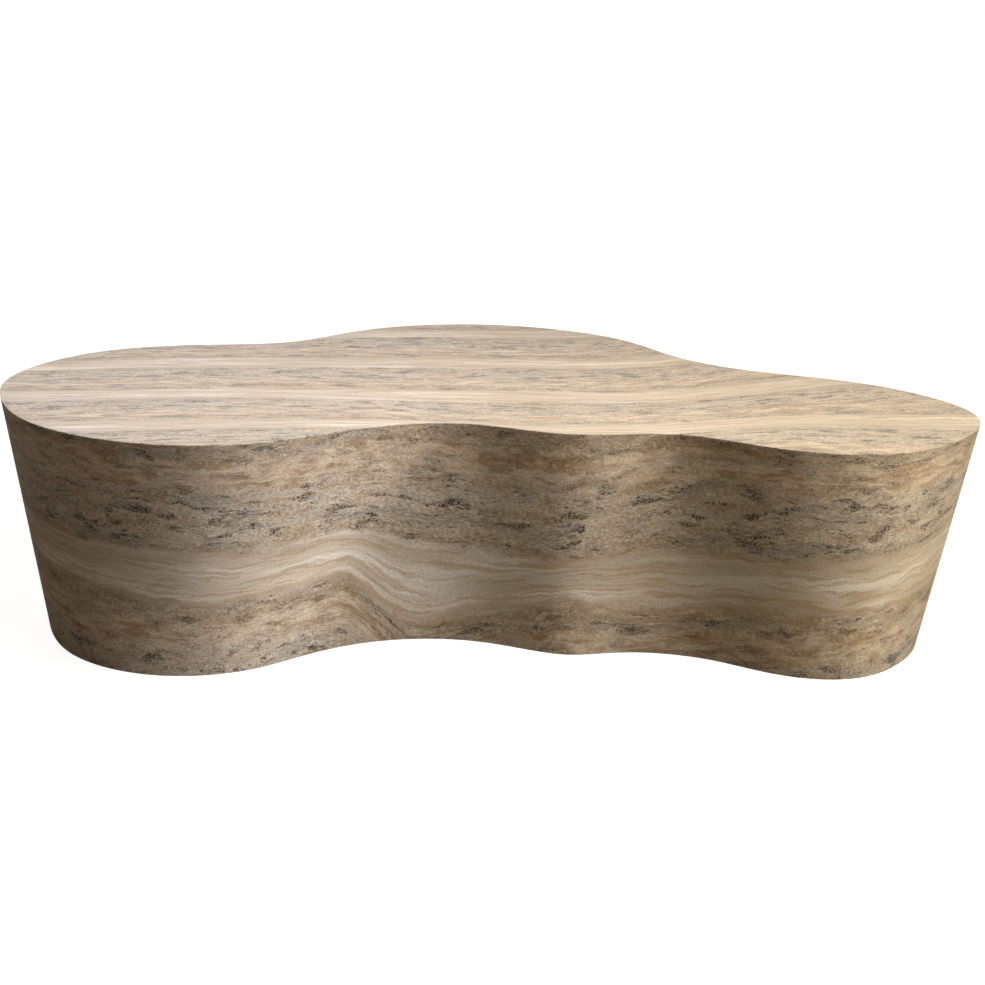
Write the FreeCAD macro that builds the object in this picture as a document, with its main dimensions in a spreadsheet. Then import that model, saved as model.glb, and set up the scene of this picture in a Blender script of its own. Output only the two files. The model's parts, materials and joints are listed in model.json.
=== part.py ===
import FreeCAD
import Part
import Sketcher
import os

# Driving dimensions in millimetres: name, value, meaning
SIZES = (
    ("top_length", 1400, "overall length of the top"),
    ("top_depth", 900, "overall depth of the top"),
    ("table_height", 335, "floor to top surface"),
    ("base_inset", 54, "how far the wall leans in from top to floor"),
    ("floor_gap", 1, "floor to the lower edge of the wall"),
    ("laminate_thickness", 1.2, "printed sheet on top and walls"),
    ("laminate_seam_gap", 0.3, "joint between the two side sheets"),
    ("glue_bed", 0.8, "adhesive between sheet, skin and boards"),
    ("skin_thickness", 6, "bendable plywood of the wall"),
    ("skin_seam_gap", 0.4, "butt joint between the two skins"),
    ("top_panel_thickness", 18, "board under the top sheet"),
    ("former_thickness", 15, "upper former"),
    ("lightening_hole_diameter", 130, "round cut-outs in the upper former"),
    ("base_plate_thickness", 18, "board over the floor"),
    ("board_thickness", 18, "spine and cross ribs"),
    ("slot_clearance", 0.3, "play in the halving joints"),
    ("batten_width", 60, "batten behind a skin joint"),
    ("batten_thickness", 15, "batten behind a skin joint"),
    ("dowel_diameter", 8, "dowels between boards and upper former"),
    ("dowel_length", 30, "dowels between boards and upper former"),
    ("dowel_chamfer", 1, "broken edge at both dowel ends"),
    ("dowel_relief", 1, "hole depth past the lower dowel end, and upper end to top panel"),
    ("fit_clearance", 0.1, "hole over the diameter of what it holds"),
    ("base_screw_diameter", 5, "screws up through the base plate"),
    ("base_screw_length", 50, "screws up through the base plate"),
    ("base_screw_head_diameter", 10, "countersunk head"),
    ("base_screw_head_height", 3.2, "countersunk head"),
    ("top_screw_diameter", 4.5, "screws up through the upper former"),
    ("top_screw_length", 28, "screws up through the upper former"),
    ("top_screw_head_diameter", 9, "round head"),
    ("top_screw_head_height", 3, "round head"),
    ("screw_point_length", 4, "tapered end of every screw"),
    ("pad_diameter", 34, "foot pad on the floor"),
    ("pad_height", 8, "foot pad"),
    ("pad_floor", 2.4, "pad thickness under the captive head"),
    ("pad_edge", 1.2, "broken lower edge of the pad"),
    ("pad_crown_diameter", 18, "flat on top of the pad"),
    ("pad_rim_height", 4.5, "upright rim of the pad"),
    ("stud_diameter", 8, "threaded stud of a foot"),
    ("stud_length", 42, "threaded stud above its collar"),
    ("stud_chamfer", 1, "broken upper end of the stud"),
    ("stud_head_diameter", 14, "round head held in the pad"),
    ("stud_head_height", 3, "round head held in the pad"),
    ("neck_diameter", 7, "stud between head and collar"),
    ("neck_length", 2, "pad to collar"),
    ("collar_width", 17, "hexagon collar across its flats"),
    ("collar_height", 5, "hexagon collar"),
    ("collar_gap", 1, "collar to base plate with the foot wound in"),
    ("swivel_clearance", 0.3, "play between stud head and pad"),
    ("nut_flange_diameter", 22, "tee nut on the base plate"),
    ("nut_flange_thickness", 1.6, "tee nut on the base plate"),
    ("nut_barrel_diameter", 10, "tee nut in the base plate"),
    ("nut_barrel_length", 12, "tee nut in the base plate"),
    ("thread_clearance", 0.1, "tee nut bore over the stud diameter"),
    ("overrun", 5, "how far every cut runs past the piece"),
)

# Levels and lengths that follow from the driving dimensions
DERIVED = (
    ("side_top", "=table_height - laminate_thickness", "upper edge of the wall"),
    ("panel_bottom", "=side_top - top_panel_thickness", "top panel on upper former"),
    ("former_bottom", "=panel_bottom - former_thickness", "upper former on boards"),
    ("base_underside", "=pad_height + neck_length + collar_height + collar_gap", "base plate over feet"),
    ("base_top", "=base_underside + base_plate_thickness", "boards on base plate"),
    ("board_height", "=former_bottom - base_top", "spine and cross ribs"),
    ("dowel_in_former", "=former_thickness - dowel_relief", "dowel length inside the upper former"),
    ("slot_width", "=board_thickness + slot_clearance", "halving joints"),
    ("slot_height", "=(board_height + slot_clearance) / 2", "halving joints"),
    ("floor_length", "=top_length - 2 * base_inset", "length of the plan at the floor"),
    ("floor_depth", "=top_depth - 2 * base_inset", "depth of the plan at the floor"),
)

# Top outline, clockwise from the left end, as shares of length and depth from the middle.
# The third share says how much of the base inset the wall takes at that point.
OUTLINE_SHARES = (
    (-0.500, -0.100, 1.05),
    (-0.472, 0.055, 1.00),
    (-0.420, 0.157, 1.00),
    (-0.312, 0.230, 1.00),
    (-0.235, 0.270, 1.00),
    (-0.167, 0.383, 1.00),
    (-0.092, 0.470, 1.00),
    (0.000, 0.500, 1.00),
    (0.090, 0.464, 1.00),
    (0.154, 0.392, 1.00),
    (0.222, 0.227, 1.00),
    (0.295, 0.140, 1.00),
    (0.395, 0.076, 1.00),
    (0.465, -0.020, 1.05),
    (0.500, -0.150, 1.15),
    (0.462, -0.320, 1.05),
    (0.385, -0.422, 0.95),
    (0.325, -0.434, 0.95),
    (0.255, -0.394, 0.95),
    (0.180, -0.342, 1.00),
    (0.085, -0.362, 1.00),
    (-0.025, -0.314, 1.10),
    (-0.122, -0.368, 1.25),
    (-0.185, -0.448, 1.10),
    (-0.270, -0.500, 0.95),
    (-0.365, -0.472, 0.80),
    (-0.445, -0.368, 0.90),
    (-0.486, -0.235, 1.05),
)
SAMPLES_PER_POINT = 2

# Cross ribs: place along the length, then the front and back fixings along the depth
RIB_SHARES = (
    (-0.36, -0.36, 0.09),
    (-0.18, -0.33, 0.24),
    (0.00, -0.21, 0.38),
    (0.18, -0.23, 0.19),
    (0.36, -0.32, -0.02),
)
SPINE_SHARE = -0.13
SPINE_FIXING_SHARES = (-0.44, -0.27, -0.09, 0.09, 0.27, 0.44)

# Skin joint along the depth, its two ends along the length, and the two joints of the side sheets
SKIN_SEAM_SHARE = -0.05
SEAM_SHARES = (-0.496, 0.475)
LAMINATE_SEAM_SHARES = (-0.215, 0.245)

# Feet on the floor plan, and the fixings and holes of the upper former on the top plan
FOOT_SHARES = (
    (-0.33, -0.40),
    (-0.43, 0.02),
    (0.05, 0.38),
    (0.43, -0.07),
    (0.32, -0.36),
    (0.07, -0.24),
)
LIGHTENING_SHARES = (
    (-0.27, -0.28),
    (-0.27, 0.06),
    (-0.09, -0.235),
    (-0.09, 0.12),
    (0.09, -0.235),
    (0.09, 0.12),
    (0.27, -0.27),
    (0.27, 0.00),
)
TOP_SCREW_SHARES = (
    (-0.43, -0.26),
    (-0.45, 0.00),
    (-0.33, 0.16),
    (-0.27, -0.43),
    (-0.11, 0.36),
    (0.11, 0.36),
    (0.33, 0.07),
    (0.40, -0.03),
    (0.43, -0.27),
    (0.29, -0.38),
    (0.02, -0.27),
    (-0.16, -0.37),
)

doc = FreeCAD.newDocument("coffee_table")
sheet = doc.addObject("Spreadsheet::Sheet", "size")
for row, (name, content, meaning) in enumerate(SIZES + DERIVED, start=1):
    sheet.set(f"A{row}", name)
    sheet.set(f"B{row}", str(content))
    sheet.set(f"C{row}", meaning)
    sheet.setAlias(f"B{row}", name)
doc.recompute()


def value(name):
    """A size read from the sheet."""
    return float(sheet.get(name))


def place(item, x="0", y="0", z="0"):
    """Bind an object's place to expressions."""
    item.setExpression("Placement.Base.x", x)
    item.setExpression("Placement.Base.y", y)
    item.setExpression("Placement.Base.z", z)


def box(label, length, width, height, x, y, z):
    """A box centred on x and y that stands on z."""
    item = doc.addObject("Part::Box", label)
    item.setExpression("Length", length)
    item.setExpression("Width", width)
    item.setExpression("Height", height)
    place(item, f"{x} - ({length}) / 2", f"{y} - ({width}) / 2", z)
    return item


def rod(label, diameter, height, x, y, z):
    """An upright cylinder that stands on z."""
    item = doc.addObject("Part::Cylinder", label)
    item.setExpression("Radius", f"({diameter}) / 2")
    item.setExpression("Height", height)
    place(item, x, y, z)
    return item


def cut(label, base, tool):
    item = doc.addObject("Part::Cut", label)
    item.Base = base
    item.Tool = tool
    return item


def common(label, base, tool):
    item = doc.addObject("Part::Common", label)
    item.Base = base
    item.Tool = tool
    return item


def group(label, items):
    """Separate solids of one kind kept together."""
    item = doc.addObject("Part::Compound", label)
    item.Links = items
    return item


def profile(body, label, plane, corners):
    """A closed sketch whose corners are pairs of expressions."""
    sketch = body.newObject("Sketcher::SketchObject", label)
    support = [item for item in body.Origin.OriginFeatures if item.Role == plane][0]
    sketch.AttachmentSupport = (support, [""])
    sketch.MapMode = "FlatFace"
    spots = [FreeCAD.Vector(*[sheet.evalExpression(text) for text in corner], 0) for corner in corners]
    for index, spot in enumerate(spots):
        sketch.addGeometry(Part.LineSegment(spot, spots[(index + 1) % len(spots)]))
    for index, corner in enumerate(corners):
        following = (index + 1) % len(corners)
        sketch.addConstraint(Sketcher.Constraint("Coincident", index, 2, following, 1))
        for kind, axis, text in zip(("DistanceX", "DistanceY"), (-2, -1), corner):
            if text == "0":
                sketch.addConstraint(Sketcher.Constraint("PointOnObject", index, 1, axis))
            else:
                length = sheet.evalExpression(text)
                number = sketch.addConstraint(Sketcher.Constraint(kind, -1, 1, index, 1, length))
                sketch.setExpression(f"Constraints[{number}]", text)
    return sketch


def turned(label, corners, x, y, z):
    """A body of revolution about its own upright axis, from radius and height pairs."""
    body = doc.addObject("PartDesign::Body", label)
    sketch = profile(body, f"{label}_profile", "XZ_Plane", corners)
    turn = body.newObject("PartDesign::Revolution", f"{label}_turn")
    turn.Profile = sketch
    turn.ReferenceAxis = (sketch, ["V_Axis"])
    turn.Angle = 360
    place(body, x, y, z)
    return body


def on_top(shares):
    """A place on the top plan as a pair of expressions."""
    return f"size.top_length * ({shares[0]})", f"size.top_depth * ({shares[1]})"


def on_floor(shares):
    """A place on the floor plan as a pair of expressions."""
    return f"size.floor_length * ({shares[0]})", f"size.floor_depth * ({shares[1]})"


# Guide curve through the outline points: its height at a point is the wall's lean there
guide = Part.BSplineCurve()
guide.interpolate(
    Points=[
        FreeCAD.Vector(x * value("top_length"), y * value("top_depth"), lean * value("base_inset"))
        for x, y, lean in OUTLINE_SHARES
    ],
    PeriodicFlag=True,
)
sample_count = SAMPLES_PER_POINT * len(OUTLINE_SHARES)
sample_step = (guide.LastParameter - guide.FirstParameter) / sample_count
samples = [guide.FirstParameter + sample_step * index for index in range(sample_count + 1)]


def outline_edges(height, depth):
    """The plan at a height: the guide moved in by the wall's lean there and a depth into the wall.

    It has one edge between every two outline points."""
    drop = (value("side_top") - height) / (value("side_top") - value("floor_gap"))
    points = []
    for sample in samples[:-1]:
        spot, run = guide.getD1(sample)
        inward = FreeCAD.Vector(run.y, -run.x, 0).normalize()
        points.append(FreeCAD.Vector(spot.x, spot.y, height) + inward * (spot.z * drop + depth))
    curve = Part.BSplineCurve()
    curve.interpolate(Points=points, PeriodicFlag=True, Parameters=samples)
    edges = []
    for start, end in zip(samples[:-1:SAMPLES_PER_POINT], samples[SAMPLES_PER_POINT::SAMPLES_PER_POINT]):
        span = curve.copy()
        span.segment(start, end)
        edges.append(span.toShape())
    return edges


def block(label, depth, low, high):
    """A solid inside the leaning wall, from one height to another: straight lines join its two plans."""
    below = outline_edges(low, depth)
    above = outline_edges(high, depth)
    faces = [Part.makeRuledSurface(*pair) for pair in zip(below, above)]
    faces += [Part.Face(Part.Wire(edges)) for edges in (below, above)]
    closed = Part.makeCompound(faces)
    closed.sewShape()
    item = doc.addObject("Part::Feature", label)
    item.Shape = Part.makeSolid(Part.Shell(closed.Faces))
    return item


# Layers of the wall from the outside in
wall_low = value("floor_gap")
wall_high = value("side_top")
cut_low = wall_low - value("overrun")
cut_high = wall_high + value("overrun")
laminate_inside = value("laminate_thickness")
skin_outside = laminate_inside + value("glue_bed")
skin_inside = skin_outside + value("skin_thickness")
core_outside = skin_inside + value("glue_bed")

core = block("core", core_outside, cut_low, cut_high)
laminate_shell = cut(
    "laminate_shell",
    block("laminate_outer", 0, wall_low, wall_high),
    block("laminate_inner", laminate_inside, cut_low, cut_high),
)
skin_shell = cut(
    "skin_shell",
    block("skin_outer", skin_outside, wall_low, wall_high),
    block("skin_inner", skin_inside, cut_low, cut_high),
)
parts = []

# Printed sheets: the top one covers the upper edge of the side ones
top_outline = doc.addObject("Part::Feature", "top_outline")
top_outline.Shape = Part.Wire(outline_edges(wall_high, 0))
top_laminate = doc.addObject("Part::Extrusion", "top_laminate")
top_laminate.Base = top_outline
top_laminate.Dir = FreeCAD.Vector(0, 0, 1)
top_laminate.DirMode = "Custom"
top_laminate.Solid = True
top_laminate.setExpression("LengthFwd", "size.laminate_thickness")
parts.append(top_laminate)


def back_space(label, gap_count):
    """The space between the two joints of the side sheets, widened by a number of joint gaps."""
    left, right = LAMINATE_SEAM_SHARES
    return box(
        label,
        f"size.top_length * ({right} - ({left})) + {gap_count} * size.laminate_seam_gap",
        "size.top_depth",
        "size.table_height + 2 * size.overrun",
        f"size.top_length * ({left} + {right}) / 2",
        "size.top_depth / 2",
        "-size.overrun",
    )


parts.append(cut("side_laminate_front", laminate_shell, back_space("front_sheet_space", 2)))
parts.append(common("side_laminate_back", laminate_shell, back_space("back_sheet_space", 0)))

# Bendable skins, joined at the two ends
for label, side in (("skin_front", -1), ("skin_back", 1)):
    space = box(
        f"{label}_space",
        "size.top_length + 2 * size.overrun",
        "size.top_depth",
        "size.table_height + 2 * size.overrun",
        "0",
        f"size.top_depth * {SKIN_SEAM_SHARE} + {side} * (size.top_depth + size.skin_seam_gap) / 2",
        "-size.overrun",
    )
    parts.append(common(label, skin_shell, space))

# Battens behind those joints: upright inside, planed to the lean of the wall outside
batten_reach = "(size.base_inset + size.skin_thickness + size.batten_thickness)"
for name, side, share in (("left", -1, SEAM_SHARES[0]), ("right", 1, SEAM_SHARES[1])):
    label = f"seam_batten_{name}"
    space = box(
        f"{label}_space",
        batten_reach,
        "size.batten_width",
        "size.board_height",
        f"size.top_length * ({share}) - {side} * {batten_reach} / 2",
        f"size.top_depth * {SKIN_SEAM_SHARE}",
        "size.base_top",
    )
    parts.append(common(label, core, space))

# Fixings: dowels into the upper former, screws through the base plate, both along the boards
dowel_spots = []
base_screw_spots = []
for station, front, back in RIB_SHARES:
    for share in (front, back):
        dowel_spots.append(on_top((station, share)))
        base_screw_spots.append((on_top((station, share))[0], on_floor((station, share))[1]))
for share in SPINE_FIXING_SHARES:
    dowel_spots.append(on_top((share, SPINE_SHARE)))
    base_screw_spots.append((on_floor((share, SPINE_SHARE))[0], on_top((share, SPINE_SHARE))[1]))
top_screw_spots = [on_top(shares) for shares in TOP_SCREW_SHARES]
foot_spots = [on_floor(shares) for shares in FOOT_SHARES]

dowel_bottom = "size.former_bottom + size.dowel_in_former - size.dowel_length"
dowel_profile = (
    ("0", "0"),
    ("size.dowel_diameter / 2 - size.dowel_chamfer", "0"),
    ("size.dowel_diameter / 2", "size.dowel_chamfer"),
    ("size.dowel_diameter / 2", "size.dowel_length - size.dowel_chamfer"),
    ("size.dowel_diameter / 2 - size.dowel_chamfer", "size.dowel_length"),
    ("0", "size.dowel_length"),
)
base_screw_profile = (
    ("0", "0"),
    ("size.base_screw_head_diameter / 2", "0"),
    ("size.base_screw_diameter / 2", "size.base_screw_head_height"),
    ("size.base_screw_diameter / 2", "size.base_screw_length - size.screw_point_length"),
    ("0", "size.base_screw_length"),
)
top_screw_profile = (
    ("0", "-size.top_screw_head_height"),
    ("size.top_screw_head_diameter / 2", "-size.top_screw_head_height"),
    ("size.top_screw_head_diameter / 2", "0"),
    ("size.top_screw_diameter / 2", "0"),
    ("size.top_screw_diameter / 2", "size.top_screw_length - size.screw_point_length"),
    ("0", "size.top_screw_length"),
)
nut_profile = (
    ("(size.stud_diameter + size.thread_clearance) / 2", "-size.nut_barrel_length"),
    ("size.nut_barrel_diameter / 2", "-size.nut_barrel_length"),
    ("size.nut_barrel_diameter / 2", "0"),
    ("size.nut_flange_diameter / 2", "0"),
    ("size.nut_flange_diameter / 2", "size.nut_flange_thickness"),
    ("(size.stud_diameter + size.thread_clearance) / 2", "size.nut_flange_thickness"),
)
for label, corners, spots, level in (
    ("rib_dowels", dowel_profile, dowel_spots, dowel_bottom),
    ("base_screws", base_screw_profile, base_screw_spots, "size.base_underside"),
    ("top_screws", top_screw_profile, top_screw_spots, "size.former_bottom"),
    ("tee_nuts", nut_profile, foot_spots, "size.base_top"),
):
    pieces = []
    for index, spot in enumerate(spots, start=1):
        pieces.append(turned(f"{label}_{index}", corners, *spot, level))
    parts.append(group(label, pieces))


def bores(label, diameter, spots, bottom, top):
    """Upright round holes at several places."""
    width = f"{diameter} + size.fit_clearance"
    holes = []
    for index, spot in enumerate(spots, start=1):
        holes.append(rod(f"{label}_{index}", width, f"({top}) - ({bottom})", *spot, bottom))
    return group(label, holes)


dowel_holes = bores(
    "dowel_holes",
    "size.dowel_diameter",
    dowel_spots,
    f"{dowel_bottom} - size.dowel_relief",
    "size.panel_bottom + size.overrun",
)
base_screw_holes = bores(
    "base_screw_holes",
    "size.base_screw_diameter",
    base_screw_spots,
    "size.base_underside - size.overrun",
    "size.base_underside + size.base_screw_length",
)
top_screw_holes = bores(
    "top_screw_holes",
    "size.top_screw_diameter",
    top_screw_spots,
    "size.former_bottom - size.overrun",
    "size.former_bottom + size.top_screw_length",
)
nut_holes = bores(
    "nut_holes",
    "size.nut_barrel_diameter",
    foot_spots,
    "size.base_underside - size.overrun",
    "size.base_top + size.overrun",
)
lightening_holes = bores(
    "lightening_holes",
    "size.lightening_hole_diameter",
    [on_top(shares) for shares in LIGHTENING_SHARES],
    "size.former_bottom - size.overrun",
    "size.panel_bottom + size.overrun",
)
sinks = []
for index, spot in enumerate(base_screw_spots, start=1):
    sink = doc.addObject("Part::Cone", f"base_screw_sink_{index}")
    sink.setExpression("Radius1", "(size.base_screw_head_diameter + size.fit_clearance) / 2")
    sink.setExpression("Radius2", "(size.base_screw_diameter + size.fit_clearance) / 2")
    sink.setExpression("Height", "size.base_screw_head_height")
    place(sink, *spot, "size.base_underside")
    sinks.append(sink)
screw_sinks = group("base_screw_sinks", sinks)


def board(label, level, thickness):
    """A flat board that fills the plan inside the skins at its level."""
    slab = box(f"{label}_slab", "size.top_length", "size.top_depth", thickness, "0", "0", level)
    return common(f"{label}_blank", core, slab)


# Flat boards
panel_blank = board("top_panel", "size.panel_bottom", "size.top_panel_thickness")
parts.append(cut("top_panel", panel_blank, top_screw_holes))
former_blank = board("upper_former", "size.former_bottom", "size.former_thickness")
former_holed = cut("upper_former_holed", former_blank, lightening_holes)
former_drilled = cut("upper_former_drilled", former_holed, dowel_holes)
parts.append(cut("upper_former", former_drilled, top_screw_holes))
base_blank = board("base_plate", "size.base_underside", "size.base_plate_thickness")
base_bored = cut("base_plate_bored", base_blank, nut_holes)
base_drilled = cut("base_plate_drilled", base_bored, base_screw_holes)
parts.append(cut("base_plate", base_drilled, screw_sinks))

# Upright boards, halved into each other: the spine from above, the ribs from below
spine_y = f"size.top_depth * ({SPINE_SHARE})"
spine_slab = box(
    "spine_slab",
    "size.top_length",
    "size.board_thickness",
    "size.board_height",
    "0",
    spine_y,
    "size.base_top",
)
spine_slots = []
for number, shares in enumerate(RIB_SHARES, start=1):
    rib_x = f"size.top_length * ({shares[0]})"
    spine_slots.append(
        box(
            f"spine_slot_{number}",
            "size.slot_width",
            "size.board_thickness + 2 * size.overrun",
            "size.slot_height + size.overrun",
            rib_x,
            spine_y,
            "size.former_bottom - size.slot_height",
        )
    )
    rib_slab = box(
        f"rib_slab_{number}",
        "size.board_thickness",
        "size.top_depth",
        "size.board_height",
        rib_x,
        "0",
        "size.base_top",
    )
    rib_slot = box(
        f"rib_slot_{number}",
        "size.board_thickness + 2 * size.overrun",
        "size.slot_width",
        "size.slot_height + size.overrun",
        rib_x,
        spine_y,
        "size.base_top - size.overrun",
    )
    rib_halved = cut(f"rib_halved_{number}", common(f"rib_blank_{number}", core, rib_slab), rib_slot)
    rib_drilled = cut(f"rib_drilled_{number}", rib_halved, dowel_holes)
    parts.append(cut(f"cross_rib_{number}", rib_drilled, base_screw_holes))
spine_blank = common("spine_blank", core, spine_slab)
spine_halved = cut("spine_halved", spine_blank, group("spine_slots", spine_slots))
spine_drilled = cut("spine_drilled", spine_halved, dowel_holes)
parts.append(cut("spine", spine_drilled, base_screw_holes))

# Levelling feet: a pad that stands on the floor and a threaded stud that turns in it
head_bottom = "size.pad_floor + size.swivel_clearance"
head_top = f"{head_bottom} + size.stud_head_height"
collar_bottom = "size.pad_height + size.neck_length"
stud_top = f"{collar_bottom} + size.collar_height + size.stud_length"
pad_profile = (
    ("0", "0"),
    ("size.pad_diameter / 2 - size.pad_edge", "0"),
    ("size.pad_diameter / 2", "size.pad_edge"),
    ("size.pad_diameter / 2", "size.pad_rim_height"),
    ("size.pad_crown_diameter / 2", "size.pad_height"),
    ("size.neck_diameter / 2 + size.swivel_clearance", "size.pad_height"),
    ("size.neck_diameter / 2 + size.swivel_clearance", f"{head_top} + size.swivel_clearance"),
    ("size.stud_head_diameter / 2 + size.swivel_clearance", f"{head_top} + size.swivel_clearance"),
    ("size.stud_head_diameter / 2 + size.swivel_clearance", "size.pad_floor"),
    ("0", "size.pad_floor"),
)
stud_profile = (
    ("0", head_bottom),
    ("size.stud_head_diameter / 2", head_bottom),
    ("size.stud_head_diameter / 2", head_top),
    ("size.neck_diameter / 2", head_top),
    ("size.neck_diameter / 2", collar_bottom),
    ("size.stud_diameter / 2", collar_bottom),
    ("size.stud_diameter / 2", f"{stud_top} - size.stud_chamfer"),
    ("size.stud_diameter / 2 - size.stud_chamfer", stud_top),
    ("0", stud_top),
)
hexagon = [
    (f"size.collar_width / sqrt(3) * cos({angle} deg)", f"size.collar_width / sqrt(3) * sin({angle} deg)")
    for angle in range(30, 390, 60)
]
for number, spot in enumerate(foot_spots, start=1):
    parts.append(turned(f"foot_pad_{number}", pad_profile, *spot, "0"))
    stud = turned(f"foot_stud_{number}", stud_profile, *spot, "0")
    collar_sketch = profile(stud, f"foot_collar_{number}_profile", "XY_Plane", hexagon)
    collar_sketch.setExpression("AttachmentOffset.Base.z", collar_bottom)
    collar = stud.newObject("PartDesign::Pad", f"foot_collar_{number}")
    collar.Profile = collar_sketch
    collar.setExpression("Length", "size.collar_height")
    parts.append(stud)

doc.recompute()
for item in doc.Objects:
    if "Invalid" in item.State or "Error" in item.State:
        raise RuntimeError(f"{item.Label} failed: {item.State}")
for item in parts:
    if item.Shape.isNull() or not item.Shape.isValid():
        raise RuntimeError(f"{item.Label} has no valid shape")
os.makedirs("parts", exist_ok=True)
for item in parts:
    item.Shape.exportStep(f"parts/{item.Label}.step")
    print(item.Label, len(item.Shape.Solids), round(item.Shape.Volume))
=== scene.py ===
import json
import math

import bpy
import numpy as np
from mathutils import Matrix, Vector

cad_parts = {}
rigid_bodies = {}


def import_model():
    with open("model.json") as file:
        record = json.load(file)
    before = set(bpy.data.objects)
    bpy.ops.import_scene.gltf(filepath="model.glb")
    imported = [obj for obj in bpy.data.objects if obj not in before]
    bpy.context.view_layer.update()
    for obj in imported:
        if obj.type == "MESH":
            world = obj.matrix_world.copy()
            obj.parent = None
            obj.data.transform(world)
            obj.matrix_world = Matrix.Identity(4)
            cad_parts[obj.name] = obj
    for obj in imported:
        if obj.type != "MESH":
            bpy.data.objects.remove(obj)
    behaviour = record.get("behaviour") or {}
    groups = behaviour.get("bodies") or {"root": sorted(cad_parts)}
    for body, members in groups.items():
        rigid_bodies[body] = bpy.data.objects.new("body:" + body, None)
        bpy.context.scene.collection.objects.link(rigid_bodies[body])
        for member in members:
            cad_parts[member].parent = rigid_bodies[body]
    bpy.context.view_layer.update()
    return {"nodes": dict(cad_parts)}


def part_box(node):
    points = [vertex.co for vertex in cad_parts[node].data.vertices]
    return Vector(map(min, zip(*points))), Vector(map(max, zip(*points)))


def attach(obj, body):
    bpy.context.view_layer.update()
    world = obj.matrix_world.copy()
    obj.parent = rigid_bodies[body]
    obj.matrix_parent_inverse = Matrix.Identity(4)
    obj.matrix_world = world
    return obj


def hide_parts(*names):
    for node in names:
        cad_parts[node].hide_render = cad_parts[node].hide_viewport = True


# Blender's own start-up objects make room for the frame
for leftover in list(bpy.data.objects):
    bpy.data.objects.remove(leftover)
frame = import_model()

# The printed sheets in metres: thickness, radius of the top sheet's eased edge, seam of the side sheets
SHEET_THICKNESS = 0.0012
SHEET_EDGE = 0.0005
SEAM_GAP = 0.0003
# Their grids: spacing along the outline in metres, rows down a wall, rings on the top and over its edge
COLUMN_STEP = 0.004
WALL_ROWS = 56
TOP_RINGS = 56
EDGE_RINGS = 5
# Edges that bend by more than this, in degrees, stay sharp
SHARP_ANGLE = 40
# Points of the frame closer than this to a level, in metres, count as on it
LEVEL_TOLERANCE = 1e-5
# Length of outline in metres over which the lean and the wall's layer edges are averaged, and their samples
SMOOTHING = 0.030
LEVEL_SAMPLES = 1500
# The top's layer edges: half their length in metres, their samples, and how many of these are averaged
TOP_REACH = 0.75
TOP_SAMPLES = 600
TOP_WINDOW = 61
# A point of the plan, in metres, from which the whole outline is in sight
MIDDLE = np.array([0.0, -0.05])
# The floor in metres: how far it goes in under the wall, and its radius
FLOOR_UNDER = 0.006
FLOOR_REACH = 30.0

# The print repeats a tan, a grey and a cream layer; these are their edges within one repeat, in metres
BAND_REPEAT = 0.240
GREY_START = 0.062
CREAM_START = 0.150
CREAM_END = 0.228

# Layer edges on the wall: place along the outline in m, clockwise from the left end, then the upper edges
# of the grey and the cream layer and the lower edge of the cream layer, in mm below the top edge
WALL_LEVELS = (
    (1.60, 55, 140, 220),
    (2.05, 50, 130, 213),
    (2.25, 56, 145, 233),
    (2.45, 64, 160, 250),
    (2.56, 72, 172, 267),
    (2.68, 82, 183, 261),
    (2.80, 82, 187, 288),
    (2.88, 76, 174, 316),
    (2.925, 68, 152, 262),
    (2.965, 63, 142, 213),
    (3.05, 62, 146, 219),
    (3.20, 64, 152, 228),
    (3.40, 60, 145, 212),
    (3.60, 50, 132, 194),
)
# Front edges of the cream layers on the top, in mm from the middle: x, then y from front to back
TOP_LEVELS = (
    (-700, -440, -235, -45, 175),
    (-550, -398, -216, 0, 215),
    (-400, -370, -180, 30, 252),
    (-300, -350, -163, 50, 278),
    (-150, -330, -156, 72, 308),
    (0, -340, -152, 83, 320),
    (100, -345, -148, 87, 330),
    (200, -334, -138, 106, 372),
    (300, -293, -104, 152, 420),
    (400, -250, -45, 215, 480),
    (500, -240, 14, 270, 530),
    (600, -237, 56, 310, 570),
    (700, -228, 80, 335, 590),
)


def linear(text):
    """The linear colour of an sRGB hex value."""
    parts = [int(text[i:i + 2], 16) / 255 for i in (0, 2, 4)]
    return [c / 12.92 if c <= 0.04045 else ((c + 0.055) / 1.055) ** 2.4 for c in parts] + [1.0]


def node_vertices(name):
    """A CAD node's vertices as rows of x, y and z."""
    mesh = frame["nodes"][name].data
    flat = np.empty(len(mesh.vertices) * 3)
    mesh.vertices.foreach_get("co", flat)
    return flat.reshape(-1, 3)


def outer_foot_points(name, level):
    """Points on the outer lower edge of an upright sheet: corners at a level of its faces that look out."""
    mesh = frame["nodes"][name].data
    corners = np.empty(len(mesh.loops), int)
    mesh.loops.foreach_get("vertex_index", corners)
    normals = np.empty(len(mesh.polygons) * 3)
    mesh.polygons.foreach_get("normal", normals)
    normals = normals.reshape(-1, 3)
    points = node_vertices(name)[corners].reshape(-1, 3, 3)
    middles = points.mean(axis=1)
    skip = 8  # every eighth point of the outline is near enough to tell outside from inside
    near = np.argmin(((middles[:, None, :2] - top_line[None, ::skip]) ** 2).sum(-1), axis=1) * skip
    looks_out = (normals[:, :2] * inward[near]).sum(-1) < -0.5
    picked = points[looks_out].reshape(-1, 3)
    return picked[np.abs(picked[:, 2] - level) < LEVEL_TOLERANCE][:, :2]


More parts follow.
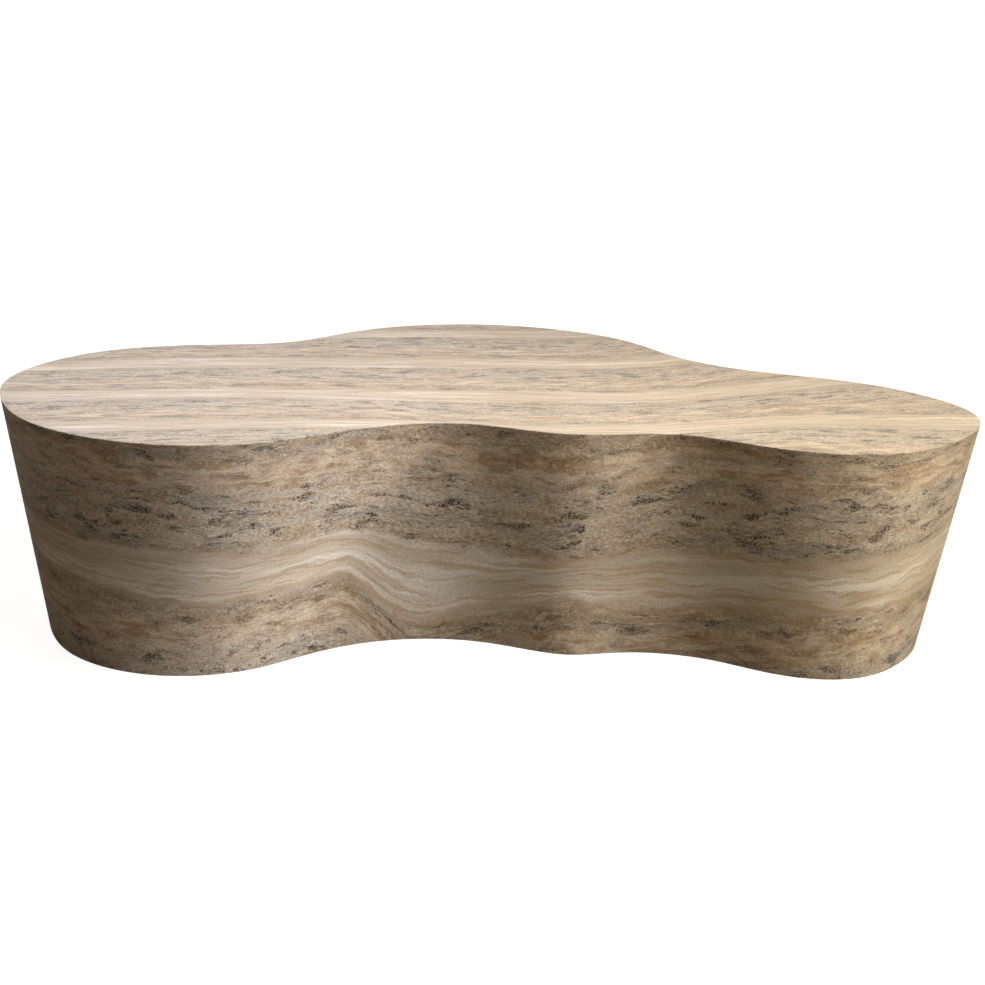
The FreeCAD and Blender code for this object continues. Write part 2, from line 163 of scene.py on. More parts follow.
def closed_spline(points, count):
    """A smooth closed curve through points: the periodic cubic spline over chord length, at even steps."""
    after = np.roll(points, -1, axis=0)
    chord = np.linalg.norm(after - points, axis=1)
    before = np.roll(chord, 1)
    unit = np.eye(len(points))
    system = (
        2 * np.diag(before + chord)
        + before[:, None] * np.roll(unit, -1, axis=1)
        + chord[:, None] * np.roll(unit, 1, axis=1)
    )
    slopes = (after - points) / chord[:, None]
    bend = np.linalg.solve(system, 6 * (slopes - np.roll(slopes, 1, axis=0)))
    knots = np.concatenate([[0], np.cumsum(chord)])
    places = np.linspace(0, knots[-1], count, endpoint=False)
    span = np.searchsorted(knots, places, side="right") - 1
    far = ((places - knots[span]) / chord[span])[:, None]
    near = 1 - far
    following = (span + 1) % len(points)
    sag = (near ** 3 - near) * bend[span] + (far ** 3 - far) * bend[following]
    return near * points[span] + far * points[following] + sag * chord[span][:, None] ** 2 / 6


def smoothed(values, window):
    """Values round a loop, averaged twice over a window of samples."""
    kernel = np.ones(window) / window
    for _ in range(2):
        wrapped = np.concatenate([values[-window:], values, values[:window]])
        values = np.convolve(wrapped, kernel, mode="same")[window:-window]
    return values


# The table's outline, read from the frame: top edge, inward direction and lean of the wall
_, sheet_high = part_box("top_laminate")
wall_low, wall_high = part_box("side_laminate_front")
back_low, back_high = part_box("side_laminate_back")
rim = node_vertices("top_laminate")
rim = np.unique(np.round(rim[rim[:, 2] > sheet_high.z - LEVEL_TOLERANCE][:, :2], 6), axis=0)
rim = rim[np.argsort(-np.arctan2(rim[:, 1] - MIDDLE[1], rim[:, 0] - MIDDLE[0]))]
rim = np.roll(rim, -np.argmin(rim[:, 0]), axis=0)
rim_length = np.linalg.norm(np.roll(rim, -1, axis=0) - rim, axis=1).sum()
top_line = closed_spline(rim, int(rim_length / COLUMN_STEP))
along = np.roll(top_line, -1, axis=0) - np.roll(top_line, 1, axis=0)
along /= np.linalg.norm(along, axis=1)[:, None]
inward = np.stack([along[:, 1], -along[:, 0]], axis=1)
step = np.linalg.norm(np.roll(top_line, -1, axis=0) - top_line, axis=1)
place = np.concatenate([[0], np.cumsum(step)[:-1]])
perimeter = step.sum()
feet = np.concatenate([
    outer_foot_points(f"side_laminate_{side}", wall_low.z) for side in ("front", "back")
])
nearest = np.argmin(((feet[:, None] - top_line[None]) ** 2).sum(-1), axis=1)
order = np.argsort(nearest)
reach = np.linalg.norm(feet - top_line[nearest], axis=1)
lean = np.interp(place, place[nearest[order]], reach[order], period=perimeter)
lean = smoothed(lean, int(SMOOTHING / COLUMN_STEP))


def layers_on_wall(places, depths):
    """Print coordinate across the layers on the wall: the depth below the top edge, stretched between
    the layer edges so that they follow their levels along the outline."""
    table = np.array(WALL_LEVELS, float)
    loop = np.linspace(0, perimeter, LEVEL_SAMPLES, endpoint=False)
    window = int(SMOOTHING * len(loop) / perimeter)
    levels = [
        smoothed(np.interp(loop, table[:, 0], column, period=perimeter), window) / 1000
        for column in table.T[1:]
    ]
    grey, cream, tan = [np.interp(places, loop, level, period=perimeter) for level in levels]
    first = depths * GREY_START / grey
    second = GREY_START + (depths - grey) * (CREAM_START - GREY_START) / (cream - grey)
    third = CREAM_START + (depths - cream) * (CREAM_END - CREAM_START) / (tan - cream)
    last = CREAM_END + (depths - tan)
    return np.select([depths < grey, depths < cream, depths < tan], [first, second, third], last)


def layers_on_top(points):
    """Print coordinate across the layers on the top: one repeat from the front edge of a cream layer to
    the front edge of the next."""
    table = np.array(TOP_LEVELS, float) / 1000
    loop = np.linspace(-TOP_REACH, TOP_REACH, TOP_SAMPLES)
    kernel = np.hanning(TOP_WINDOW) / np.hanning(TOP_WINDOW).sum()
    edges = []
    for column in table.T[1:]:
        line = np.pad(np.interp(loop, table[:, 0], column), TOP_WINDOW // 2, mode="edge")
        edges.append(np.interp(points[:, 0], loop, np.convolve(line, kernel, mode="valid")))
    edges = np.stack(edges)
    index = np.clip((points[:, 1] > edges).sum(axis=0) - 1, 0, len(edges) - 2)
    pick = np.arange(len(points))
    low, high = edges[index, pick], edges[index + 1, pick]
    return CREAM_START + BAND_REPEAT * (index + (points[:, 1] - low) / (high - low))


def sheet_piece(name, points, faces, print_place, material):
    """A mesh piece with one place on the print per vertex, kept in its UV map."""
    mesh = bpy.data.meshes.new(name)
    mesh.from_pydata(points.tolist(), [], faces)
    corners = np.empty(len(mesh.loops), int)
    mesh.loops.foreach_get("vertex_index", corners)
    mesh.uv_layers.new(name="print").data.foreach_set("uv", print_place[corners].ravel())
    mesh.polygons.foreach_set("use_smooth", np.ones(len(mesh.polygons), bool))
    mesh.update()
    mesh.set_sharp_from_angle(angle=math.radians(SHARP_ANGLE))
    piece = bpy.data.objects.new(name, mesh)
    bpy.context.scene.collection.objects.link(piece)
    mesh.materials.append(material)
    return piece


def make_top_sheet(material):
    """The printed top sheet: its outline carried up the edge, over a quarter round and in to the middle.

    An edge ring is outline + inward * r * (1 - cos a) at height high - r * (1 - sin a), with the angle a
    from 0 to 90 degrees; a flat ring is middle + (last edge ring - middle) * share. One more ring, half way
    in, and a point in the middle make the underside."""
    low, high = wall_high.z, sheet_high.z
    turn = np.linspace(0, math.pi / 2, EDGE_RINGS)
    insets = np.concatenate([[0], SHEET_EDGE * (1 - np.cos(turn))])
    heights = np.concatenate([[low], high - SHEET_EDGE * (1 - np.sin(turn))])
    edge = [top_line + inward * inset for inset in insets]
    shares = np.linspace(1, 0, TOP_RINGS + 1)[1:-1]
    flat = [MIDDLE + (edge[-1] - MIDDLE) * share for share in shares]
    rings = np.stack([MIDDLE + (top_line - MIDDLE) * 0.5, *edge, *flat])
    levels = np.concatenate([[low], heights, np.full(len(flat), high)])
    count = rings.shape[1]
    points = np.concatenate([rings.reshape(-1, 2), np.repeat(levels, count)[:, None]], axis=1)
    points = np.concatenate([points, [[*MIDDLE, low], [*MIDDLE, high]]])
    row, here = np.meshgrid(np.arange(len(rings) - 1) * count, np.arange(count), indexing="ij")
    there = (here + 1) % count
    quads = np.stack([row + here, row + count + here, row + count + there, row + there], axis=-1)
    around, ahead = here[0], there[0]
    last, poles = (len(rings) - 1) * count, len(points) - 2
    under = np.stack([around, ahead, np.full(count, poles)], axis=1)
    over = np.stack([last + ahead, last + around, np.full(count, poles + 1)], axis=1)
    faces = quads.reshape(-1, 4).tolist() + under.tolist() + over.tolist()
    print_place = np.stack([points[:, 0], layers_on_top(points)], axis=1)
    return sheet_piece("top_sheet", points, faces, print_place, material)


def seam_place(x, drop):
    """Place along the outline where the back wall, at a share of its drop, crosses an upright plane."""
    line = top_line + inward * (lean * drop)[:, None]
    back = np.flatnonzero(line[:, 1] > 0)
    back = back[np.argsort(line[back, 0])]
    return np.interp(x, line[back, 0], place[back])


def make_wall_sheet(name, start_x, end_x, material):
    """A printed side sheet between two seams: point = outline + inward * (lean * drop + depth), at height
    high - (high - low) * drop, with the drop from 0 at the top to 1 at the floor line.

    Its rows go round the sheet: down the outside, where depth is 0, and up the inside, where it is the
    sheet's thickness."""
    shares = np.linspace(0, 1, WALL_ROWS)
    drops = np.concatenate([shares, shares[::-1]])
    depth = np.repeat([0, SHEET_THICKNESS], WALL_ROWS)[:, None]
    starts = np.array([seam_place(start_x, drop) for drop in drops])
    ends = np.array([seam_place(end_x, drop) for drop in drops])
    ends = np.where(ends < starts, ends + perimeter, ends)
    rows, count = len(drops), int((ends - starts).max() / COLUMN_STEP)
    places = starts[:, None] + (ends - starts)[:, None] * np.linspace(0, 1, count)
    x, y, in_x, in_y, lean_in = [
        np.interp(places, place, values, period=perimeter)
        for values in (*top_line.T, *inward.T, lean)
    ]
    offset = lean_in * drops[:, None] + depth
    fall = np.broadcast_to((wall_high.z - wall_low.z) * drops[:, None], places.shape)
    points = np.stack([x + in_x * offset, y + in_y * offset, wall_high.z - fall], axis=-1).reshape(-1, 3)
    row, here = np.meshgrid(np.arange(rows), np.arange(count - 1), indexing="ij")
    below = (row + 1) % rows * count + here
    above = row * count + here
    quads = np.stack([above, above + 1, below + 1, below], axis=-1)
    caps = np.arange(rows) * count
    faces = quads.reshape(-1, 4).tolist() + [caps.tolist(), (caps + count - 1)[::-1].tolist()]
    print_place = np.stack([places, layers_on_wall(places % perimeter, fall)], axis=-1).reshape(-1, 2)
    return sheet_piece(name, points, faces, print_place, material)


def add(tree, kind, inputs=None, **settings):
    """Add a node, set its settings, and set or link its inputs."""
    node = tree.nodes.new(kind)
    for name, setting in settings.items():
        setattr(node, name, setting)
    for name, source in (inputs or {}).items():
        if isinstance(source, bpy.types.NodeSocket):
            tree.links.new(source, node.inputs[name])
        else:
            node.inputs[name].default_value = source
    return node


def new_material(name):
    """An empty node material and its tree."""
    material = bpy.data.materials.new(name)
    material.use_nodes = True
    material.node_tree.nodes.clear()
    return material, material.node_tree


# Pattern sizes of the print in mm: along and across the layers, then octaves and their weight. The grain is
# drawn as coarse as it needs to show
PRINT_WAVES = {"sway": (320, 120, 2, 0.5), "ripple": (46, 20, 3, 0.55)}
PRINT_PATTERNS = {
    "band": (300, 20, 2, 0.5),
    "streak": (120, 6.5, 4, 0.6),
    "cloud": (46, 12, 4, 0.62),
    "patch": (120, 22, 4, 0.62),
    "cluster": (48, 13, 3, 0.55),
    "pit": (3.8, 2.1, 2, 0.6),
    "fleck": (6.0, 2.3, 3, 0.7),
    "line": (60, 9, 4, 0.6),
    "line_part": (80, 24, 2, 0.5),
    "grain": (2.4, 1.6, 2, 0.7),
}
# How far the waves lift the layers, in metres
WAVE_HEIGHTS = {"sway": 0.010, "ripple": 0.007}
# Layer colours over one repeat: a brown strip, tan, grey, cream, and the strip again
LAYER_COLOURS = (
    (0.00, "a99a86"),
    (0.06, "ac9c88"),
    (0.13, "c1b09c"),
    (0.24, "b9a997"),
    (0.31, "b4a89a"),
    (0.46, "b3a798"),
    (0.57, "afa291"),
    (0.615, "a59886"),
    (0.665, "b7ab9b"),
    (0.78, "c3baab"),
    (0.90, "beb09e"),
    (0.965, "aa9a86"),
    (1.00, "a99a86"),
)
# Soft edges of the layers' marks within one repeat: both edges from where nothing shows to where all does
CREAM_EDGES = ((0.595, 0.675), (0.995, 0.90))
GREY_EDGES = ((0.23, 0.30), (0.67, 0.60))
STRIP_EDGES = ((0.945, 0.985), (0.12, 0.04))
# The brown strip has this share of the grey layer's marks
STRIP_SHARE = 0.7
# Marks: colour, pattern, pattern values where the mark begins and is full, strength in tan, grey and cream
PRINT_MARKS = (
    ("d8cab2", "cloud", (0.50, 0.63), (0.65, 0.35, 0.00)),
    ("8a6d45", "cloud", (0.48, 0.35), (0.60, 0.32, 0.00)),
    ("8d8a86", "patch", (0.52, 0.64), (0.22, 0.60, 0.00)),
    ("8d6f47", "patch", (0.46, 0.33), (0.55, 0.32, 0.05)),
    ("dad5ce", "band", (0.46, 0.70), (0.10, 0.10, 0.80)),
    ("a48b66", "streak", (0.49, 0.59), (0.15, 0.10, 0.55)),
    ("554a3e", "fleck", (0.45, 0.37), (0.28, 0.48, 0.08)),
    ("eadfcb", "fleck", (0.56, 0.65), (0.32, 0.42, 0.08)),
)
# Pits, the ground of their clusters, and dark lines: strength in tan, grey and cream, then for each the
# pattern values as above, the colour and the share. A line lies where its pattern crosses LINE_LEVEL
PIT_STRENGTHS = (0.50, 0.95, 0.00)
PIT_SHOWS, PIT_COLOUR = (0.47, 0.54), "3a342c"
CLUSTER_SHOWS, CLUSTER_COLOUR, CLUSTER_SHARE = (0.57, 0.67), "6f675b", 0.38
LINE_LEVEL, LINE_HALF_WIDTH, LINE_SHOWS, LINE_SHARE = 0.5, (0.026, 0.006), (0.50, 0.60), 0.9
# The grain's darkest and brightest factor, and the pattern values that give them
GRAIN_RANGE, GRAIN_SHOWS = (0.80, 1.20), (0.25, 0.75)
# Painted light: the print is a little rosier at the left end, standing in for cool shade there, and more
# golden and darker at the right, standing in for warm lamp light from that side: x in metres, colour
LEFT_PAINTED_SHADE_TINT, RIGHT_PAINTED_LIGHT_TINT = (-0.5, "fffcfc"), (0.6, "f0e7d5")
# Embossing: height of the flecks against the pits, strength, and depth of the pits in metres
FLECK_RELIEF, EMBOSS_STRENGTH, EMBOSS_DEPTH = 0.8, 0.8, 0.0007
# The satin face: roughness at the cloud pattern's lowest and highest value, and index of refraction.
# Melamine resin has about 1.65; the lower value matches the photograph's weak reflections
SATIN_ROUGHNESS, SATIN_IOR = (0.38, 0.54), 1.4


def print_patterns(tree, source, sizes):
    """One soft pattern for each name, at its size along and across the print's layers."""
    patterns = {}
    for name, (along_mm, across_mm, octaves, weight) in sizes.items():
        scale = (1000 / along_mm, 1000 / across_mm, 0)
        scaled = add(tree, "ShaderNodeVectorMath", {0: source, 1: scale}, operation="MULTIPLY").outputs[0]
        patterns[name] = add(tree, "ShaderNodeTexNoise", {"Vector": scaled, "Scale": 1, "Detail": octaves,
                             "Roughness": weight}, noise_dimensions="2D").outputs[0]
    return patterns


def layer_mask(tree, phase, edges, joined):
    """How much of a layer shows at a place in the repeat: its two soft edges, joined by an operation."""
    sides = [
        add(tree, "ShaderNodeMapRange", {"Value": phase, "From Min": start, "From Max": full},
            interpolation_type="SMOOTHSTEP").outputs[0]
        for start, full in edges
    ]
    return add(tree, "ShaderNodeMath", {0: sides[0], 1: sides[1]}, operation=joined).outputs[0]


def strength_by_layer(tree, grey, cream, strengths):
    """A mark's strength, from its strengths in the tan, the grey and the cream layer."""
    in_tan, in_grey, in_cream = strengths
    outside = add(tree, "ShaderNodeMix", {"Factor": grey, 2: in_tan, 3: in_grey}).outputs[0]
    return add(tree, "ShaderNodeMix", {"Factor": cream, 2: outside, 3: in_cream}).outputs[0]


def printed_travertine():
    """Decor paper under a satin melamine face, printed as travertine. It gives the eye soft-edged layers,
    fine lamina streaks in the cream, mottled and flecked tan and grey, and pits that the press embosses."""
    material, tree = new_material("satin_travertine_print")
    sheet = add(tree, "ShaderNodeUVMap", uv_map="print").outputs["UV"]
    waves = print_patterns(tree, sheet, PRINT_WAVES)
    sway, ripple = [
        add(tree, "ShaderNodeMapRange", {"Value": waves[name], "To Min": -lift, "To Max": lift}).outputs[0]
        for name, lift in WAVE_HEIGHTS.items()
    ]
    rise = add(tree, "ShaderNodeMath", {0: sway, 1: ripple}, operation="ADD").outputs[0]
    shift = add(tree, "ShaderNodeCombineXYZ", {"Y": rise}).outputs[0]
    waved = add(tree, "ShaderNodeVectorMath", {0: sheet, 1: shift}, operation="ADD").outputs[0]
    pattern = print_patterns(tree, waved, PRINT_PATTERNS)

    across = add(tree, "ShaderNodeSeparateXYZ", {0: waved}).outputs["Y"]
    repeats = add(tree, "ShaderNodeMath", {0: across, 1: BAND_REPEAT}, operation="DIVIDE").outputs[0]
    phase = add(tree, "ShaderNodeMath", {0: repeats}, operation="FRACT").outputs[0]
    ramp = add(tree, "ShaderNodeValToRGB", {"Fac": phase})
    stops = ramp.color_ramp.elements
    for index, (position, tone) in enumerate(LAYER_COLOURS):
        stop = stops[index] if index < 2 else stops.new(position)
        stop.position, stop.color = position, linear(tone)
    colour = ramp.outputs["Color"]

    cream = layer_mask(tree, phase, CREAM_EDGES, "MULTIPLY")
    grey = layer_mask(tree, phase, GREY_EDGES, "MULTIPLY")
    strip = layer_mask(tree, phase, STRIP_EDGES, "MAXIMUM")
    strip = add(tree, "ShaderNodeMath", {0: strip, 1: STRIP_SHARE}, operation="MULTIPLY").outputs[0]
    grey = add(tree, "ShaderNodeMath", {0: grey, 1: strip}, operation="MAXIMUM").outputs[0]
    for tone, name, (start, full), strengths in PRINT_MARKS:
        shown = add(tree, "ShaderNodeMapRange", {"Value": pattern[name], "From Min": start,
                    "From Max": full}, interpolation_type="SMOOTHSTEP").outputs[0]
        weight = strength_by_layer(tree, grey, cream, strengths)
        factor = add(tree, "ShaderNodeMath", {0: shown, 1: weight}, operation="MULTIPLY").outputs[0]
        colour = add(tree, "ShaderNodeMix", {"Factor": factor, 6: colour, 7: linear(tone)},
                     data_type="RGBA").outputs[2]

    # Pits in clusters on a greyer ground, and short dark lines along the layers
    pit, cluster = [
        add(tree, "ShaderNodeMapRange", {"Value": pattern[name], "From Min": start, "From Max": full},
            interpolation_type="SMOOTHSTEP").outputs[0]
        for name, (start, full) in (("pit", PIT_SHOWS), ("cluster", CLUSTER_SHOWS))
    ]
    weight = strength_by_layer(tree, grey, cream, PIT_STRENGTHS)
    cluster = add(tree, "ShaderNodeMath", {0: cluster, 1: weight}, operation="MULTIPLY").outputs[0]
    ground = add(tree, "ShaderNodeMath", {0: cluster, 1: CLUSTER_SHARE}, operation="MULTIPLY").outputs[0]
    colour = add(tree, "ShaderNodeMix", {"Factor": ground, 6: colour, 7: linear(CLUSTER_COLOUR)},
                 data_type="RGBA").outputs[2]
    pitted = add(tree, "ShaderNodeMath", {0: pit, 1: cluster}, operation="MULTIPLY").outputs[0]
    off_line = add(tree, "ShaderNodeMath", {0: pattern["line"], 1: LINE_LEVEL},
                   operation="SUBTRACT").outputs[0]
    off_line = add(tree, "ShaderNodeMath", {0: off_line}, operation="ABSOLUTE").outputs[0]
    line, line_part = [
        add(tree, "ShaderNodeMapRange", {"Value": source, "From Min": start, "From Max": full}).outputs[0]
        for source, (start, full) in ((off_line, LINE_HALF_WIDTH), (pattern["line_part"], LINE_SHOWS))
    ]
    for factor in (line_part, weight, LINE_SHARE):
        line = add(tree, "ShaderNodeMath", {0: line, 1: factor}, operation="MULTIPLY").outputs[0]
    dark = add(tree, "ShaderNodeMath", {0: pitted, 1: line}, operation="MAXIMUM").outputs[0]
    colour = add(tree, "ShaderNodeMix", {"Factor": dark, 6: colour, 7: linear(PIT_COLOUR)},
                 data_type="RGBA").outputs[2]

    grain = add(tree, "ShaderNodeMapRange", {"Value": pattern["grain"], "From Min": GRAIN_SHOWS[0],
                "From Max": GRAIN_SHOWS[1], "To Min": GRAIN_RANGE[0], "To Max": GRAIN_RANGE[1]}).outputs[0]
    # Painted light: warm lamp light at the right end and cool shade at the left, multiplied into the colour
    # along x across the table
    where = add(tree, "ShaderNodeTexCoord").outputs["Object"]
    across_table = add(tree, "ShaderNodeSeparateXYZ", {0: where}).outputs["X"]
    golden = add(tree, "ShaderNodeMapRange", {"Value": across_table, "From Min": LEFT_PAINTED_SHADE_TINT[0],
                 "From Max": RIGHT_PAINTED_LIGHT_TINT[0]}, interpolation_type="SMOOTHSTEP").outputs[0]
    painted_light_colour = add(tree, "ShaderNodeMix", {"Factor": golden, 6: linear(LEFT_PAINTED_SHADE_TINT[1]), 7: linear(RIGHT_PAINTED_LIGHT_TINT[1])},
               data_type="RGBA").outputs[2]
    for factor in (grain, painted_light_colour):
        colour = add(tree, "ShaderNodeMix", {"Factor": 1.0, 6: colour, 7: factor}, data_type="RGBA",
                     blend_type="MULTIPLY").outputs[2]

    relief = add(tree, "ShaderNodeMath", {0: pattern["fleck"], 1: FLECK_RELIEF},
                 operation="MULTIPLY").outputs[0]
    relief = add(tree, "ShaderNodeMath", {0: relief, 1: dark}, operation="SUBTRACT").outputs[0]
    bump = add(tree, "ShaderNodeBump", {"Height": relief, "Strength": EMBOSS_STRENGTH,
               "Distance": EMBOSS_DEPTH}).outputs[0]
    satin = add(tree, "ShaderNodeMapRange", {"Value": pattern["cloud"], "To Min": SATIN_ROUGHNESS[0],
                "To Max": SATIN_ROUGHNESS[1]}).outputs[0]
    shader = add(tree, "ShaderNodeBsdfPrincipled", {"Base Color": colour, "Roughness": satin,
                 "Normal": bump, "IOR": SATIN_IOR})
    add(tree, "ShaderNodeOutputMaterial", {"Surface": shader.outputs[0]})
    return material


# Pattern of the plain finishes: octaves and their weight, then strength and depth in metres of its relief
FINISH_OCTAVES, FINISH_WEIGHT = 4, 0.6
FINISH_STRENGTH, FINISH_DEPTH = 0.2, 0.0002


def plain_finish(name, pale, dark, along_mm, across_mm, roughness, metallic=0.0):
    """A finish seen only from below: two tones and a slight relief in a soft pattern of a size in mm."""
    material, tree = new_material(name)
    where = add(tree, "ShaderNodeTexCoord").outputs["Object"]
    scale = (1000 / along_mm, 1000 / across_mm, 1000 / across_mm)
    scaled = add(tree, "ShaderNodeVectorMath", {0: where, 1: scale}, operation="MULTIPLY").outputs[0]
    noise = add(tree, "ShaderNodeTexNoise", {"Vector": scaled, "Scale": 1, "Detail": FINISH_OCTAVES,
                "Roughness": FINISH_WEIGHT}).outputs[0]
    colour = add(tree, "ShaderNodeMix", {"Factor": noise, 6: linear(dark), 7: linear(pale)},
                 data_type="RGBA").outputs[2]
    bump = add(tree, "ShaderNodeBump", {"Height": noise, "Strength": FINISH_STRENGTH,
               "Distance": FINISH_DEPTH}).outputs[0]
    shader = add(tree, "ShaderNodeBsdfPrincipled", {"Base Color": colour, "Roughness": roughness,
                 "Metallic": metallic, "Normal": bump})
    add(tree, "ShaderNodeOutputMaterial", {"Surface": shader.outputs[0]})
    return material


# The floor: its colour for light that it throws back and for the camera, and the white that it shows the
# camera besides, as distance from the origin in metres and level: the shadow stays and the horizon goes
FLOOR_BOUNCE, FLOOR_SEEN = "74726e", "8c8a88"
FLOOR_NEAR, FLOOR_FAR = (0.9, 0.92), (2.6, 1.0)
# Soft warm light from all round on the object
STUDIO_LIGHT, STUDIO_HUE = 0.20, "ffddb0"


def make_floor():
    """A pale floor that keeps the table's shadow: a flat ring from just inside the foot of the wall out to
    a far circle, open under the table and clear from below, so that the underside gets light and shows."""
    near = top_line + inward * (lean + FLOOR_UNDER)[:, None]
    outward = near - MIDDLE
    far = MIDDLE + outward * (FLOOR_REACH / np.linalg.norm(outward, axis=1))[:, None]
    points = np.pad(np.concatenate([near, far]), ((0, 0), (0, 1)))
    here = np.arange(len(near))
    there = np.roll(here, -1)
    faces = np.stack([here, there, there + len(near), here + len(near)], axis=1)
    mesh = bpy.data.meshes.new("floor")
    mesh.from_pydata(points.tolist(), [], faces.tolist())
    floor = bpy.data.objects.new("floor", mesh)
    bpy.context.scene.collection.objects.link(floor)

    material, tree = new_material("pale_floor")
    seen = add(tree, "ShaderNodeLightPath").outputs["Is Camera Ray"]
    tone = add(tree, "ShaderNodeMix", {"Factor": seen, 6: linear(FLOOR_BOUNCE), 7: linear(FLOOR_SEEN)},
               data_type="RGBA").outputs[2]
    matte = add(tree, "ShaderNodeBsdfDiffuse", {"Color": tone}).outputs[0]
    where = add(tree, "ShaderNodeTexCoord").outputs["Object"]
    away = add(tree, "ShaderNodeVectorMath", {0: where}, operation="LENGTH").outputs["Value"]
    level = add(tree, "ShaderNodeMapRange", {"Value": away, "From Min": FLOOR_NEAR[0],
                "From Max": FLOOR_FAR[0], "To Min": FLOOR_NEAR[1], "To Max": FLOOR_FAR[1]},
                interpolation_type="SMOOTHSTEP").outputs[0]
    glow = add(tree, "ShaderNodeMath", {0: seen, 1: level}, operation="MULTIPLY").outputs[0]
    white = add(tree, "ShaderNodeEmission", {"Color": (1, 1, 1, 1), "Strength": glow}).outputs[0]
    lit = add(tree, "ShaderNodeAddShader", {0: matte, 1: white}).outputs[0]
    clear = add(tree, "ShaderNodeBsdfTransparent").outputs[0]
    below = add(tree, "ShaderNodeNewGeometry").outputs["Backfacing"]
    sided = add(tree, "ShaderNodeMixShader", {0: below, 1: lit, 2: clear})
    add(tree, "ShaderNodeOutputMaterial", {"Surface": sided.outputs[0]})
    mesh.materials.append(material)


def make_surroundings():
    """White all round for the camera and for reflections, and a low warm light on the object."""
    world = bpy.data.worlds.new("studio")
    bpy.context.scene.world = world
    world.use_nodes = True
    tree = world.node_tree
    tree.nodes.clear()
    path = add(tree, "ShaderNodeLightPath")
    seen = path.outputs["Is Camera Ray"]
    for ray in ("Is Glossy Ray", "Is Transmission Ray"):
        seen = add(tree, "ShaderNodeMath", {0: seen, 1: path.outputs[ray]}, operation="MAXIMUM").outputs[0]
    strength = add(tree, "ShaderNodeMapRange", {"Value": seen, "To Min": STUDIO_LIGHT,
                   "To Max": 1.0}).outputs[0]
    hue = add(tree, "ShaderNodeMix", {"Factor": seen, 6: linear(STUDIO_HUE), 7: (1, 1, 1, 1)},
              data_type="RGBA").outputs[2]
    sky = add(tree, "ShaderNodeBackground", {"Color": hue, "Strength": strength})
    add(tree, "ShaderNodeOutputWorld", {"Surface": sky.outputs[0]})


# Lamps: name, place, point that they look at, side in metres, power in watts, spread in degrees.
# A broad key from the right, three narrow ones for the front's lobes, one behind, one for the underside
LAMPS = (
    ("key", (3.75, -1.22, 3.28), (0, 0, 0.2), 1.4, 129, 180),
    ("left_lobe", (3.50, -0.49, 3.38), (-0.33, -0.36, 0.17), 0.8, 3.4, 20),
    ("right_lobe", (3.68, -2.56, 3.25), (0.45, -0.30, 0.17), 0.8, 3.1, 22),
    ("front", (2.73, -3.85, 2.67), (0.25, -0.30, 0.17), 0.8, 1.1, 20),
    ("rear", (-1.8, 3.1, 3.6), (0, 0, 0.2), 1.6, 57, 180),
    ("under", (0, 0, -1.5), (0, 0, 0), 1.0, 16, 180),
)


def make_lamp(name, place, target, size, power, spread):
    """A square soft lamp that looks at a point."""
    lamp = bpy.data.lights.new(name, "AREA")
    lamp.size, lamp.energy, lamp.spread = size, power, math.radians(spread)
    item = bpy.data.objects.new(name, lamp)
    item.location = place
    item.rotation_euler = (Vector(target) - Vector(place)).to_track_quat("-Z", "Y").to_euler()
    bpy.context.scene.collection.objects.link(item)


# The photograph's view: place in metres, pitch down and roll in radians, lens in mm on a 36 mm sensor
CAMERA_PLACE = (0.01078, -2.90967, 0.96453)
CAMERA_PITCH, CAMERA_ROLL = 0.26969, 0.03021
LENS, SENSOR = 72.40, 36.0


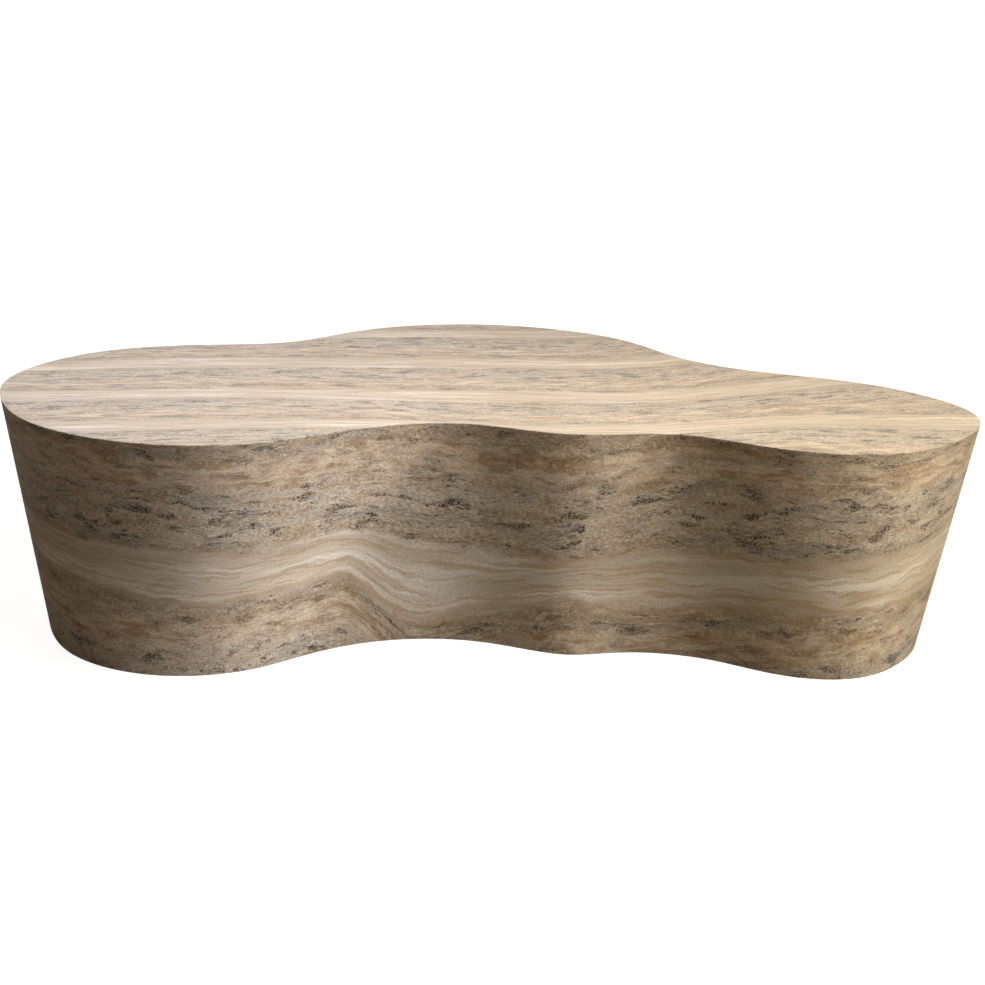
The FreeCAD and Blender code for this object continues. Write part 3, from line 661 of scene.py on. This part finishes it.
def make_camera():
    """A long lens in front of the table, a little above it and slightly rolled."""
    forward = Vector((0, math.cos(CAMERA_PITCH), -math.sin(CAMERA_PITCH)))
    right = Vector((1, 0, 0))
    up = right.cross(forward)
    rolled_right = right * math.cos(CAMERA_ROLL) + up * math.sin(CAMERA_ROLL)
    rolled_up = up * math.cos(CAMERA_ROLL) - right * math.sin(CAMERA_ROLL)
    camera = bpy.data.cameras.new("camera")
    camera.lens, camera.sensor_width, camera.sensor_fit = LENS, SENSOR, "HORIZONTAL"
    item = bpy.data.objects.new("camera", camera)
    turn = Matrix((rolled_right, rolled_up, -forward)).transposed()
    item.matrix_world = Matrix.Translation(Vector(CAMERA_PLACE)) @ turn.to_4x4()
    bpy.context.scene.collection.objects.link(item)
    bpy.context.scene.camera = item


travertine = printed_travertine()
top_sheet = make_top_sheet(travertine)
wall_front = make_wall_sheet("wall_sheet_front", back_high.x + SEAM_GAP, back_low.x - SEAM_GAP, travertine)
wall_back = make_wall_sheet("wall_sheet_back", back_low.x, back_high.x, travertine)
for piece, node in ((top_sheet, "top_laminate"), (wall_front, "side_laminate_front"),
                    (wall_back, "side_laminate_back")):
    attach(piece, "carcass")
    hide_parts(node)

# Finishes by the start of a node's name; every other node is a fibreboard
finishes = {
    # Peeled veneer gives long soft grain in straw-brown
    ("skin",): plain_finish("bending_plywood", "cfae83", "b58e60", 60, 3, 0.65),
    # Planed hardwood gives a smoother and redder face with long grain
    ("seam_batten",): plain_finish("planed_beech", "d2a878", "b98a58", 90, 4, 0.55),
    # Turned hardwood gives a pale face with short fine grain
    ("rib_dowels",): plain_finish("beech_dowel", "d6b083", "bd9264", 8, 1, 0.6),
    # Plating gives bright grey metal, a little cloudy
    ("base_screws", "top_screws", "tee_nuts", "foot_stud"):
        plain_finish("zinc_plated_steel", "b9bcc0", "8f9398", 4, 4, 0.35, metallic=1.0),
    # Moulding gives half-matt black; the mould's grain is finer, and is drawn coarse enough to show
    ("foot_pad",): plain_finish("black_nylon", "1c1c1e", "121213", 1.5, 1.5, 0.5),
}
# Pressed wood fibre gives dull brown; the fibres are finer, and the mottle is drawn coarse enough to show
fibreboard = plain_finish("raw_fibreboard", "b59a76", "8f7353", 16, 11, 0.8)
for name, item in frame["nodes"].items():
    finish = next((finish for starts, finish in finishes.items() if name.startswith(starts)), fibreboard)
    item.data.materials.clear()
    item.data.materials.append(finish)

make_floor()
make_surroundings()
for lamp in LAMPS:
    make_lamp(*lamp)
make_camera()
bpy.context.scene.view_settings.view_transform = "Standard"
